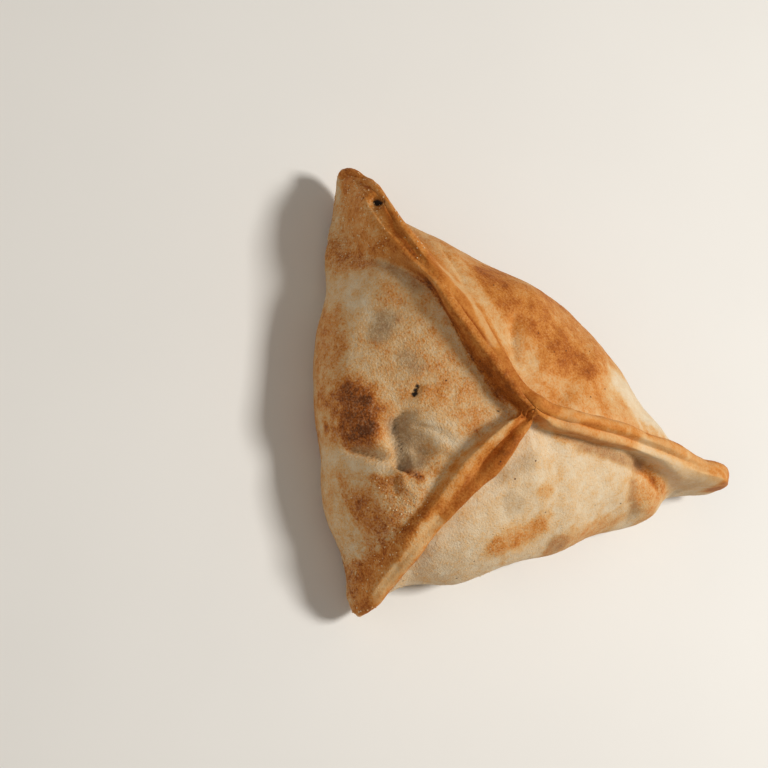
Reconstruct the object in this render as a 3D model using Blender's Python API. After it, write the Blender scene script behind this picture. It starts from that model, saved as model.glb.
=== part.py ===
"""A fatayer: a three-cornered pie of bread dough, folded over its filling from three sides and
pinched shut along three seams that run from the middle to the corners.

The pie is one solid. Its skin is three panels. A panel is made of ribs: each rib leaves the seam's
groove, climbs over the lip of dough, drops down the pinched wall, runs over the filling, turns
round the widest line and ends where the dough meets the tray. Sizes are in millimetres until the
mesh is written in metres.
"""

import math
from types import SimpleNamespace

import bmesh
import bpy
import numpy as np

MM = 0.001

# Where the seams meet, and how high the crust stands there.
CENTRE = np.array([13.5, -6.5])

# A seam's sizes are given at equal steps from the centre to its corner. "before" and "after" are
# its two sides, clockwise and anticlockwise as seen from above.
#   tip      the corner in plan
#   nose     length over which the corner rounds off
#   crest    height of the pinched crest above the tray
#   lift     height of the underside above the tray
#   groove   depth of the line between the two lips
#   bow      sideways bend of the seam, positive to the anticlockwise side
#   lean     how far the crest tips over to the anticlockwise side
#   wall     height of the lip above the panel beside it
#   lip      thickness of the lip, from the groove to the wall's face
#   gap      how far the top of the lip stands from the groove
#   splay    how far the wall runs out as it drops, as a share of its height
#   drop     how much lower than the crest this lip ends
#   slant    how far the lip and wall flatten into one straight slope, from 0 to 1
#   fin      least half width of the pie on this side
SEAMS = {
    "left": {
        "tip": (-51.0, -7.5),
        "nose": 6.0,
        "crest": (39.5, 37.0, 33.0, 26.5, 13.5),
        "lift": (0.0, 0.0, 0.0, 0.6, 5.0),
        "groove": (0.3, 0.0, 0.7, 1.1, 0.2, 1.0, 1.4, 1.2, 0.5),
        "bow": (0.0, 0.6, 2.0, 4.0, 0.0),
        "lean": (0.0, 0.2, 0.7, 1.4, 1.3, 0.8, 0.4, 0.2, 0.0),
        "before": {
            "wall": (5.0, 3.2, 3.5, 7.5, 6.0),
            "lip": (2.2, 2.8, 3.0, 4.0, 3.4),
            "gap": (0.6, 0.7, 0.8, 1.5, 1.2),
            "splay": (0.20, 0.90, 1.20, 0.60, 0.40),
            "drop": (0.0, 0.4, 0.4, 0.0, 0.0),
            "slant": (0.0, 0.4, 0.4, 0.1, 0.0),
            "fin": (4.0, 4.0, 4.0, 6.0, 4.0),
        },
        "after": {
            "wall": (5.0, 5.6, 5.2, 4.2, 3.8, 6.0, 9.0, 8.0, 6.0),
            "lip": (1.8, 2.4, 2.8, 2.6, 2.5, 2.6, 3.4, 3.0, 2.2),
            "gap": (0.6, 0.6, 0.6, 0.6, 0.7, 0.8, 0.9, 0.9, 0.8),
            "splay": (0.05, 0.05, 0.05, 0.50, 0.30),
            "drop": (0.0, 0.0, 0.0, 0.0, 0.3, 1.6, 2.2, 1.9, 0.9),
            "slant": (0.0, 0.2, 0.1, 0.0, 0.1, 0.4, 0.7, 0.6, 0.4),
            "fin": (4.0, 4.0, 4.0, 1.2, 0.8),
        },
    },
    "front": {
        "tip": (37.8, -49.1),
        "nose": 5.0,
        "crest": (39.5, 35.5, 30.0, 23.0, 11.0),
        "lift": (0.0, 0.0, 0.0, 0.8, 3.0),
        "groove": (0.3, 1.1, 1.5, 0.4, 0.0, 0.0, 0.0, 0.0, 0.0),
        "bow": (0.0, -1.1, -1.8, -1.9, -2.0, -2.2, -2.3, -1.5, 0.0),
        "lean": (0.0, 0.1, 0.1, 0.0, 0.0, 0.0, 0.0, 0.0, 0.0),
        "before": {
            "wall": (5.0, 4.4, 3.6, 2.8, 2.4, 2.2, 2.4, 3.0, 3.6),
            "lip": (1.8, 3.0, 3.8, 3.8, 3.6, 3.2, 3.0, 2.8, 2.6),
            "gap": (0.8, 1.8, 2.2, 1.6, 1.2, 1.1, 1.0, 1.0, 1.0),
            "splay": (0.12, 0.30, 0.60, 0.80, 0.60),
            "drop": (0.0, 0.5, 0.3, 0.0, 0.0),
            "slant": (0.0, 0.1, 0.3, 0.5, 0.4),
            "fin": (4.0, 4.0, 4.0, 3.2, 2.0),
        },
        "after": {
            "wall": (5.0, 5.0, 5.5, 8.0, 5.0),
            "lip": (1.8, 2.4, 3.8, 3.0, 2.4, 2.2, 3.2, 4.2, 3.2),
            "gap": (0.8, 1.4, 1.6, 1.5, 1.2, 1.0, 0.8, 0.8, 0.8),
            "splay": (0.05, 0.05, 0.10, 0.30, 0.40),
            "drop": (0.0, 0.0, 0.0, 0.0, 0.0),
            "slant": (0.0, 0.0, 0.0, 0.3, 0.3),
            "fin": (4.0, 4.0, 4.0, 4.8, 3.4),
        },
    },
    "back": {
        "tip": (50.8, 48.4),
        "nose": 8.0,
        "crest": (39.5, 38.2, 36.5, 34.2, 31.5, 28.6, 25.4, 22.4, 15.0),
        "lift": (0.0, 0.0, 0.0, 0.6, 3.2),
        "groove": (0.3, 0.7, 1.3, 1.5, 1.4, 1.1, 0.5, 0.2, 0.0),
        "bow": (0.0, 0.5, 0.9, 0.1, 0.0),
        "lean": (0.0, -0.4, -0.8, -0.6, 0.0),
        "before": {
            "wall": (5.0, 4.4, 4.0, 4.0, 4.4, 5.0, 5.5, 5.5, 5.0),
            "lip": (1.8, 2.2, 2.4, 3.0, 3.4),
            "gap": (0.8, 0.8, 0.9, 1.1, 1.0),
            "splay": (0.10, 0.10, 0.20, 0.90, 0.70),
            "drop": (0.0, 0.9, 1.2, 0.9, 0.2),
            "slant": (0.0, 0.0, 0.1, 0.6, 0.4),
            "fin": (4.0, 4.0, 4.0, 1.6, 2.8),
        },
        "after": {
            "wall": (5.0, 4.5, 5.0, 7.0, 5.0),
            "lip": (2.2, 2.3, 2.6, 3.5, 2.8),
            "gap": (0.8, 0.9, 1.0, 1.1, 1.0),
            "splay": (0.15, 0.15, 0.20, 0.40, 0.30),
            "drop": (0.0, 0.0, 0.0, 0.0, 0.0),
            "slant": (0.0, 0.0, 0.0, 0.2, 0.2),
            "fin": (4.0, 4.0, 4.0, 4.4, 3.4),
        },
    },
}

# The panels, anticlockwise from above, each from one seam's corner to the next one's.
#   outline  how far the widest line stands out past the straight line between the corners, at
#            equal steps along it
#   fullness how round the panel is: 1 is a flat slope, 2 a quarter ellipse
#   widest   height of the widest line, as a share of the panel's height at the seam
#   inset    how far the edge on the tray lies inside the widest line
#   fillet   extra width where the seams meet
PANELS = {
    "front": {
        "seams": ("left", "front"),
        "outline": (-2.0, 1.6, 3.2, 6.9, 8.4, 7.4, 6.4, 2.8, -0.6),
        "fullness": 1.62, "widest": 0.34, "inset": 7.0, "fillet": 0.0,
    },
    "right": {
        "seams": ("front", "back"),
        "outline": (0.2, -2.6, 0.8, 1.2, 1.3, 0.4, 1.5, -1.2, -0.5),
        "fullness": 1.70, "widest": 0.32, "inset": 6.0, "fillet": 0.3,
    },
    "back": {
        "seams": ("back", "left"),
        "outline": (1.0, 0.8, 0.9, 5.2, 6.2, 4.0, 0.0, -0.2, 1.0),
        "fullness": 1.75, "widest": 0.36, "inset": 6.0, "fillet": 0.4,
    },
}

# Marks of the fingers, the filling and the oven: each swells (or, below zero, sinks) the skin round
# the line between two points. Radius and height are in millimetres.
MARKS = {
    "blister over the filling": ((-1.5, -34.0, 21.0), (-1.0, -33.0, 22.0), 5.5, 1.3),
    "fold under the blister": ((3.5, -39.0, 18.0), (11.5, -33.0, 24.5), 1.8, -1.0),
    "hollow in the front panel": ((6.5, -31.0, 25.0), (10.5, -29.0, 27.0), 3.4, -2.6),
    "wrinkle under the hollow": ((13.5, -34.0, 24.5), (17.0, -31.0, 26.5), 1.8, 0.9),
    "swelling by the front corner": ((15.0, -39.5, 20.5), (19.0, -39.0, 20.5), 5.5, 0.8),
    "dip by the left corner": ((-16.5, -22.0, 22.5), (-11.0, -21.5, 25.5), 6.0, -0.6),
    "roll over the centre": ((8.0, -7.5, 38.5), (12.5, -5.5, 39.5), 2.0, 0.7),
    "roll over the centre, going on": ((12.5, -5.5, 39.5), (18.0, 1.0, 38.5), 2.0, 0.7),
    "dome of the back panel": ((-5.0, 10.0, 28.0), (9.0, 15.0, 29.0), 10.0, 2.0),
    "valley beside the left seam": ((-25.0, -2.0, 29.0), (3.0, 0.5, 34.0), 3.2, -0.8),
    "valley beside the back seam": ((11.0, 5.0, 33.5), (25.0, 27.0, 26.0), 4.0, -0.6),
    "outer pleat": ((-23.5, -7.0, 31.5), (-17.0, -5.0, 33.0), 1.8, -0.6),
    "inner pleat": ((-4.5, 3.0, 31.5), (1.5, -1.5, 35.0), 1.8, -0.8),
    "hollow in the right panel": ((23.0, -3.0, 32.0), (32.0, 13.0, 28.0), 5.0, -0.7),
    "dip in the right panel's edge": ((44.0, -9.0, 9.0), (44.0, -11.0, 9.0), 5.0, -0.9),
    "dimple of the back corner": ((36.0, 21.5, 22.5), (42.0, 27.5, 16.0), 2.8, -2.2),
    "fold of the back corner": ((43.0, 23.0, 16.0), (45.5, 26.0, 11.0), 3.0, 1.2),
    "hole in the left corner": ((-41.0, -10.5, 21.5), (-40.0, -10.5, 22.0), 1.4, -1.2),
    "crease under the left corner": ((-37.5, -14.5, 9.5), (-35.5, -14.5, 13.0), 2.2, -1.0),
}

PINCH = 0.35  # how far the fingers' pinches raise and lower the crest
PINCH_LENGTH = 10.0  # from one pinch to the next
UNEVEN = 0.35  # how far the skin wanders from its true shape
UNEVEN_LENGTH = 17.0  # from one rise to the next

JOINT_BEND = 0.4  # how sharply the seams sweep into each other at the centre
JOINT_REACH = 6.0

CRUST_COLOUR = (0.62, 0.40, 0.21, 1)
CRUST_ROUGHNESS = 0.75

FILLET_REACH = 4.5  # how far from the centre a fillet fades out
SEAM_MIX = 0.06  # over which a panel goes from one seam's sizes to the other's
SQUARE_FROM = (0.55, 0.95)  # along a seam, where the ribs turn square to it

# On a short rib, the most of its reach that its lip, its wall's foot and its inset take up, and the
# most of its lip that its gap does.
LIP_SHARE, FOOT_SHARE, INSET_SHARE = 0.8, 0.93, 0.55
GAP_SHARE = 0.6

RIBS = 56  # per panel
RIDGE_STEPS, PANEL_STEPS, UNDER_STEPS = 9, 10, 4
BASE_RINGS = (0.93, 0.75, 0.5, 0.25)
DENSE = 30  # samples per part of a rib before it is smoothed
SMOOTHING_PASSES = 6


def stations(values, s):
    """A smooth curve through values at equal steps of s from 0 to 1."""
    values = np.asarray(values, float)
    count = len(values) - 1
    x = np.clip(s, 0, 1) * count
    k = np.minimum(x.astype(int), count - 1)
    t = x - k
    padded = np.concatenate([[2 * values[0] - values[1]], values, [2 * values[-1] - values[-2]]])
    a, b, c, d = padded[k], padded[k + 1], padded[k + 2], padded[k + 3]
    slope_in, slope_out = (c - a) / 2, (d - b) / 2
    return (
        b
        + slope_in * t
        + (3 * (c - b) - 2 * slope_in - slope_out) * t**2
        + (2 * (b - c) + slope_in + slope_out) * t**3
    )


def waves(points, length, seed, count=9):
    """A smooth field over the points, mostly within 1 either way, that repeats about every length."""
    generator = np.random.default_rng(seed)
    field = np.zeros(len(points))
    for _ in range(count):
        way = generator.normal(size=points.shape[1])
        way *= 2 * math.pi / (length * generator.uniform(0.75, 1.35) * np.linalg.norm(way))
        field += np.sin(points @ way + generator.uniform(0, 2 * math.pi))
    return field / math.sqrt(count)


def smoothstep(low, high, x):
    t = np.clip((x - low) / (high - low), 0, 1)
    return t * t * (3 - 2 * t)


def smooth_max(a, b, blend):
    h = np.clip(0.5 + 0.5 * (a - b) / blend, 0, 1)
    return b + (a - b) * h + blend * h * (1 - h)


def joint_bend(seam):
    """The left seam runs on into the back seam in one curve, so both start off bent towards it."""
    return {"left": JOINT_BEND, "back": -JOINT_BEND, "front": 0.0}[seam]


def seam_plan(seam, s):
    """Points in plan along a seam, and the unit vectors along it and to its anticlockwise side."""
    size = SEAMS[seam]
    tip = np.array(size["tip"])
    along = tip - CENTRE
    length = np.linalg.norm(along)
    along = along / length
    side = np.array([-along[1], along[0]])
    run = s * length
    offset = stations(size["bow"], s) + joint_bend(seam) * run * np.exp(-run / JOINT_REACH)
    return CENTRE + np.outer(run, along) + np.outer(offset, side), along, side


def nose_closing(seam, s):
    """The share of its full section that a corner keeps as it rounds off to its tip."""
    length = np.linalg.norm(np.array(SEAMS[seam]["tip"]) - CENTRE)
    start = 1 - SEAMS[seam]["nose"] / length
    t = np.clip((s - start) / (1 - start), 0, 1)
    return np.sqrt(np.maximum(1 - t * t, 0))


class PanelSizes:
    """The sizes of one panel's ribs, each an array over u, which runs from one corner to the next."""

    def __init__(self, panel, u):
        self.first, self.second = PANELS[panel]["seams"]
        self.to_first = np.maximum(1 - 2 * u, 0)
        self.to_second = np.maximum(2 * u - 1, 0)
        self.mix = smoothstep(0.5 - SEAM_MIX, 0.5 + SEAM_MIX, u)
        self.first_half = u <= 0.5

    def own(self, first, second):
        """What belongs to the seam that each rib starts on."""
        return np.where(self.first_half, first, second)

    def seam(self, key):
        """A size of the seam that the rib starts on, the same on both its sides."""
        return self.own(
            stations(SEAMS[self.first][key], self.to_first),
            stations(SEAMS[self.second][key], self.to_second),
        )

    def side(self, key):
        """A size of the seams' sides that face this panel, blended at the centre."""
        first = stations(SEAMS[self.first]["after"][key], self.to_first)
        second = stations(SEAMS[self.second]["before"][key], self.to_second)
        return first * (1 - self.mix) + second * self.mix


def rib_layout(panel, u):
    """Where each rib starts on the groove, which way it points in plan and how far it reaches."""
    first, second = PANELS[panel]["seams"]
    sizes = PanelSizes(panel, u)
    s_first, s_second = sizes.to_first, sizes.to_second
    halves = sizes.first_half[:, None]
    on_first, along_first, side_first = seam_plan(first, s_first)
    on_second, along_second, side_second = seam_plan(second, s_second)
    start = np.where(halves, on_first, on_second)
    along = np.where(halves, along_first, along_second)
    side = np.where(halves, side_first, side_second)
    tip_a, tip_b = np.array(SEAMS[first]["tip"]), np.array(SEAMS[second]["tip"])
    chord_length = np.linalg.norm(tip_b - tip_a)
    chord = (tip_b - tip_a) / chord_length
    outward = np.array([chord[1], -chord[0]])
    # The widest line's place along the chord, level with the rib's start.
    place = np.clip((start - tip_a) @ chord / chord_length, 0, 1)
    inside = -(start - tip_a) @ outward
    reach = smooth_max(sizes.side("fin"), inside + stations(PANELS[panel]["outline"], place), 2.0)
    # Towards a corner the ribs turn square to the seam.
    facing = np.where(halves, 1.0, -1.0) * side
    turn = smoothstep(*SQUARE_FROM, sizes.own(s_first, s_second))[:, None]
    ways = outward[None, :] * (1 - turn) + facing * turn
    ways /= np.linalg.norm(ways, axis=1, keepdims=True)
    return SimpleNamespace(
        start=start,
        ways=ways,
        side=side,
        reach=reach,
        closing=sizes.own(nose_closing(first, s_first), nose_closing(second, s_second)),
        squareness=np.abs(along[:, 0] * ways[:, 1] - along[:, 1] * ways[:, 0]),
    )


def rib_measures(panel, u):
    """Every size that shapes a panel's ribs, each an array over the ribs."""
    sizes, rib = PanelSizes(panel, u), rib_layout(panel, u)
    away = np.linalg.norm(rib.start - CENTRE, axis=1)
    pinch = PINCH * waves(rib.start, PINCH_LENGTH, 3) * smoothstep(2, 9, away)
    near_centre = np.exp(-((away / FILLET_REACH) ** 2))
    rib.crest, rib.lift, rib.lean = sizes.seam("crest"), sizes.seam("lift"), sizes.seam("lean")
    rib.groove = rib.crest + pinch - sizes.seam("groove")
    rib.top = rib.crest + pinch - sizes.side("drop")
    lip = sizes.side("lip") / rib.squareness + PANELS[panel]["fillet"] * near_centre
    rib.lip = np.minimum(lip, rib.reach * LIP_SHARE)
    rib.gap = np.minimum(sizes.side("gap") / rib.squareness, rib.lip * GAP_SHARE)
    wall = sizes.side("wall")
    rib.panel_top = rib.top - wall
    rib.widest = rib.lift + (rib.panel_top - rib.lift) * PANELS[panel]["widest"]
    rib.slant = sizes.side("slant")
    rib.power = PANELS[panel]["fullness"]
    # Where the wall meets the panel.
    rib.foot = np.minimum(rib.lip + sizes.side("splay") * wall, rib.reach * FOOT_SHARE)
    rise = np.maximum(1 - (rib.foot / rib.reach) ** rib.power, 0) ** (1 / rib.power)
    rib.foot_height = rib.widest + (rib.panel_top - rib.widest) * rise
    rib.inset = np.minimum(PANELS[panel]["inset"], INSET_SHARE * rib.reach)
    return rib


def bezier(points, t):
    """A cubic curve for each rib, from control points of (distance out, height)."""
    weights = [(1 - t) ** 3, 3 * t * (1 - t) ** 2, 3 * t**2 * (1 - t), t**3]
    return [
        sum(weight * point[k][:, None] for weight, point in zip(weights, points)) for k in (0, 1)
    ]


def slanted(rib, t, crown, curves):
    """The curves from the lip's crown to the wall's foot, flattened towards the straight slope."""
    foot, slant = (rib.foot, rib.foot_height), rib.slant[:, None]
    flat = []
    for k, curve in enumerate(curves):
        share = (t + k) / len(curves)
        line = [crown[n][:, None] * (1 - share) + foot[n][:, None] * share for n in (0, 1)]
        flat.append([curve[n] * (1 - slant) + line[n] * slant for n in (0, 1)])
    return flat


def ridge_curves(rib, t):
    """Up out of the groove, over the lip and down the wall to the panel."""
    zero = np.zeros_like(rib.reach)
    depth, drop = rib.top - rib.groove, rib.top - rib.foot_height
    crown = (rib.gap, rib.top)
    edge = (rib.lip, rib.top - 0.5 * drop)
    into_groove = bezier([
        (zero, rib.groove),
        (0.35 * rib.gap, rib.groove + 0.3 * depth),
        (0.55 * rib.gap, rib.top),
        crown,
    ], t)
    over_lip = bezier([
        crown,
        (rib.gap + 0.75 * (rib.lip - rib.gap), rib.top),
        (rib.lip, rib.top - 0.1 * drop),
        edge,
    ], t)
    down_wall = bezier([
        edge,
        (rib.lip, rib.foot_height + 0.25 * drop),
        ((rib.foot + rib.lip) / 2, rib.foot_height + 0.05 * drop),
        (rib.foot, rib.foot_height),
    ], t)
    return [into_groove, *slanted(rib, t, crown, [over_lip, down_wall])]


def panel_curves(rib, t, t_end):
    """On a superellipse from the wall's foot to the widest line, then round to the tray."""
    share = np.clip((rib.foot / rib.reach) ** (rib.power / 2), 0, 1)
    from_angle = np.arcsin(share)[:, None]
    angle = from_angle + (math.pi / 2 - from_angle) * t
    reach, widest, inset = rib.reach[:, None], rib.widest[:, None], rib.inset[:, None]
    over_filling = [
        reach * np.sin(angle) ** (2 / rib.power),
        widest + (rib.panel_top[:, None] - widest) * np.cos(angle) ** (2 / rib.power),
    ]
    lift, quarter = rib.lift[:, None], t_end * math.pi / 2
    under = [
        reach - inset + inset * np.cos(quarter) ** 0.9,
        lift + (widest - lift) * (1 - np.sin(quarter)),
    ]
    return [over_filling, under]


def rib_profiles(rib):
    """The ribs as (distance out from the groove, height), smoothed: an array of (rib, sample, 2)."""
    t = np.linspace(0, 1, DENSE, endpoint=False)[None, :]
    t_end = np.linspace(0, 1, DENSE)[None, :]
    curves = ridge_curves(rib, t) + panel_curves(rib, t, t_end)
    across = np.concatenate([curve[0] for curve in curves], axis=1)
    height = np.concatenate([curve[1] for curve in curves], axis=1)
    ribs = np.stack([across, height], axis=2)
    for _ in range(SMOOTHING_PASSES):
        middle = (ribs[:, :-2] + ribs[:, 2:]) / 2
        ribs[:, 1:-1] += 0.5 * (middle - ribs[:, 1:-1])
    # At its nose a corner closes about its middle height.
    middle_height = (0.5 * (rib.lift + rib.crest))[:, None]
    ribs[:, :, 0] *= rib.closing[:, None]
    ribs[:, :, 1] = middle_height + (ribs[:, :, 1] - middle_height) * rib.closing[:, None]
    return ribs


def rib_steps():
    """The samples that become rows of the mesh: even within each part of a rib."""
    ridge = np.linspace(0, 3 * DENSE, RIDGE_STEPS, endpoint=False)
    over = 3 * DENSE + DENSE * np.linspace(0, 1, PANEL_STEPS, endpoint=False)
    under = 4 * DENSE + (DENSE - 1) * np.linspace(0, 1, UNDER_STEPS + 1)
    return np.concatenate([ridge, over, under])


def panel_points(panel):
    """The panel's surface as an array of (rib, row, 3)."""
    rib = rib_measures(panel, rib_places())
    ribs = rib_profiles(rib)
    at = rib_steps()
    low = np.minimum(at.astype(int), ribs.shape[1] - 2)
    share = (at - low)[None, :, None]
    rows = ribs[:, low] * (1 - share) + ribs[:, low + 1] * share
    across, height = rows[:, :, 0], rows[:, :, 1]
    plan = rib.start[:, None, :] + across[:, :, None] * rib.ways[:, None, :]
    # The crest leans over whole; the walls follow it less and less towards their feet.
    wall = np.maximum(rib.top - rib.foot_height, 0.5)[:, None]
    up_wall = np.clip((height - rib.foot_height[:, None]) / wall, 0, 1) ** 1.4
    up_wall[:, at < DENSE] = 1
    up_wall[:, at >= 3 * DENSE] = 0
    plan = plan + (rib.lean[:, None] * up_wall)[:, :, None] * rib.side[:, None, :]
    return np.concatenate([plan, height[:, :, None]], axis=2)


def rib_places():
    """u at each rib: closer together at the corners' noses and at the centre."""
    t = np.linspace(0, 1, RIBS + 1)
    half = np.where(t <= 0.5, t * 2, 2 - t * 2)
    eased = half - 0.1 * np.sin(2 * math.pi * half)
    return np.where(t <= 0.5, eased / 2, 1 - eased / 2)


def add_grid(mesh, points):
    """Faces over a grid of points whose first index runs anticlockwise and second outwards."""
    corners = [[mesh.verts.new(p) for p in line] for line in points]
    for left, right in zip(corners, corners[1:]):
        for k in range(len(left) - 1):
            mesh.faces.new((left[k], left[k + 1], right[k + 1], right[k]))


def base_grid(edge, lift):
    """The underside, from the panels' lower edges in to the middle of the base."""
    rings = [edge]
    for scale in BASE_RINGS:
        ring = edge.copy()
        ring[:, :2] = CENTRE + (edge[:, :2] - CENTRE) * scale
        ring[:, 2] = lift * smoothstep(0.6, 1.0, scale)
        rings.append(ring)
    middle = edge.copy()
    middle[:, :2] = CENTRE
    middle[:, 2] = 0
    rings.append(middle)
    return np.stack(rings, axis=1)


def marks_at(points):
    """How far the skin stands out at each point, in millimetres, from the marks and its unevenness."""
    out = UNEVEN * waves(points, UNEVEN_LENGTH, 11)
    for start, end, radius, height in MARKS.values():
        start, end = np.array(start), np.array(end)
        along = end - start
        share = np.clip((points - start) @ along / (along @ along), 0, 1)
        distance = np.linalg.norm(points - start - share[:, None] * along, axis=1)
        out += height * np.exp(-((distance / radius) ** 2))
    return out


def press_marks(data):
    """Moves the skin along its normals, less and less towards the flat base."""
    count = len(data.vertices)
    flat = np.empty(count * 3)
    data.vertices.foreach_get("co", flat)
    points = flat.reshape(-1, 3) / MM
    data.vertices.foreach_get("normal", flat)
    normals = flat.reshape(-1, 3).copy()
    kept = smoothstep(0.5, 5.0, points[:, 2])
    points += normals * (marks_at(points) * kept)[:, None]
    points[:, 2] = np.maximum(points[:, 2], 0)
    low, high = points.min(axis=0), points.max(axis=0)
    points[:, :2] -= (low[:2] + high[:2]) / 2
    data.vertices.foreach_set("co", (points * MM).ravel())
    data.update()


def make_pastry():
    mesh = bmesh.new()
    edges, lifts = [], []
    for panel in PANELS:
        points = panel_points(panel)
        add_grid(mesh, points * MM)
        edges.append(points[:-1, -1])
        lifts.append(rib_measures(panel, rib_places()).lift[:-1])
    edge, lift = np.concatenate(edges), np.concatenate(lifts)
    edge, lift = np.concatenate([edge, edge[:1]]), np.append(lift, lift[0])
    add_grid(mesh, base_grid(edge, lift) * MM)
    bmesh.ops.remove_doubles(mesh, verts=mesh.verts, dist=0.01 * MM)
    bmesh.ops.dissolve_degenerate(mesh, edges=mesh.edges, dist=0.03 * MM)
    data = bpy.data.meshes.new("pastry")
    bmesh.ops.recalc_face_normals(mesh, faces=mesh.faces)
    mesh.to_mesh(data)
    mesh.free()
    press_marks(data)
    data.shade_smooth()
    return data


def baked_dough():
    material = bpy.data.materials.new("baked_dough")
    material.use_nodes = True
    shader = material.node_tree.nodes["Principled BSDF"]
    shader.inputs["Base Color"].default_value = CRUST_COLOUR
    shader.inputs["Roughness"].default_value = CRUST_ROUGHNESS
    shader.inputs["Metallic"].default_value = 0
    return material


def main():
    for thing in list(bpy.data.objects):
        bpy.data.objects.remove(thing)
    pastry = bpy.data.objects.new("pastry", make_pastry())
    pastry.data.materials.append(baked_dough())
    bpy.context.scene.collection.objects.link(pastry)


main()
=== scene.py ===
"""The looks of a fatayer: a three-cornered pie of bread dough with its crust, browning and flour.

The crust is one dense mesh over the plain solid of the frame. Its skin is three panels of ribs.
Each rib leaves a seam's groove, climbs over the lip of dough, drops down the pinched wall, runs
over the filling, turns round the widest line and ends where the dough meets the floor. Folds are
then pressed into the mesh, the oven's marks are painted on it as attributes together with painted
shade in creases, under lips and at the walls' feet and painted light on lit flanks, and the dough's
material reads those. Sizes are in millimetres until a mesh is written in metres.
"""

import math
from types import SimpleNamespace

import bmesh
import bpy
import numpy as np
from mathutils import Matrix, Vector


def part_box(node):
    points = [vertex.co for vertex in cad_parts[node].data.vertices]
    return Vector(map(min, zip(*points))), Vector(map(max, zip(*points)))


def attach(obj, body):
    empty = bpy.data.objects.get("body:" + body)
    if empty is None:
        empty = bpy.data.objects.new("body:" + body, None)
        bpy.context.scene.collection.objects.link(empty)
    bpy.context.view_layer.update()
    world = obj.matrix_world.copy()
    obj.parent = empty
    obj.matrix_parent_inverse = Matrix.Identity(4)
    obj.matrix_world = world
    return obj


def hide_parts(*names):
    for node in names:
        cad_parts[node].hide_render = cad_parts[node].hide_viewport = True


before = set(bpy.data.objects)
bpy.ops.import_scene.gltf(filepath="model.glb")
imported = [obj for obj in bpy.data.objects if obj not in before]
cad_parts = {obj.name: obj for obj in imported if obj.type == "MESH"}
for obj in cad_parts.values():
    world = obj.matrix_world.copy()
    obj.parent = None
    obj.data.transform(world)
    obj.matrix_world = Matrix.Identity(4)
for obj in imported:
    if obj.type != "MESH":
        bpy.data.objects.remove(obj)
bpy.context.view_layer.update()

MM = 0.001

# Where the seams meet, and how high the crust stands there.
CENTRE = np.array([13.5, -6.5])

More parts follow.
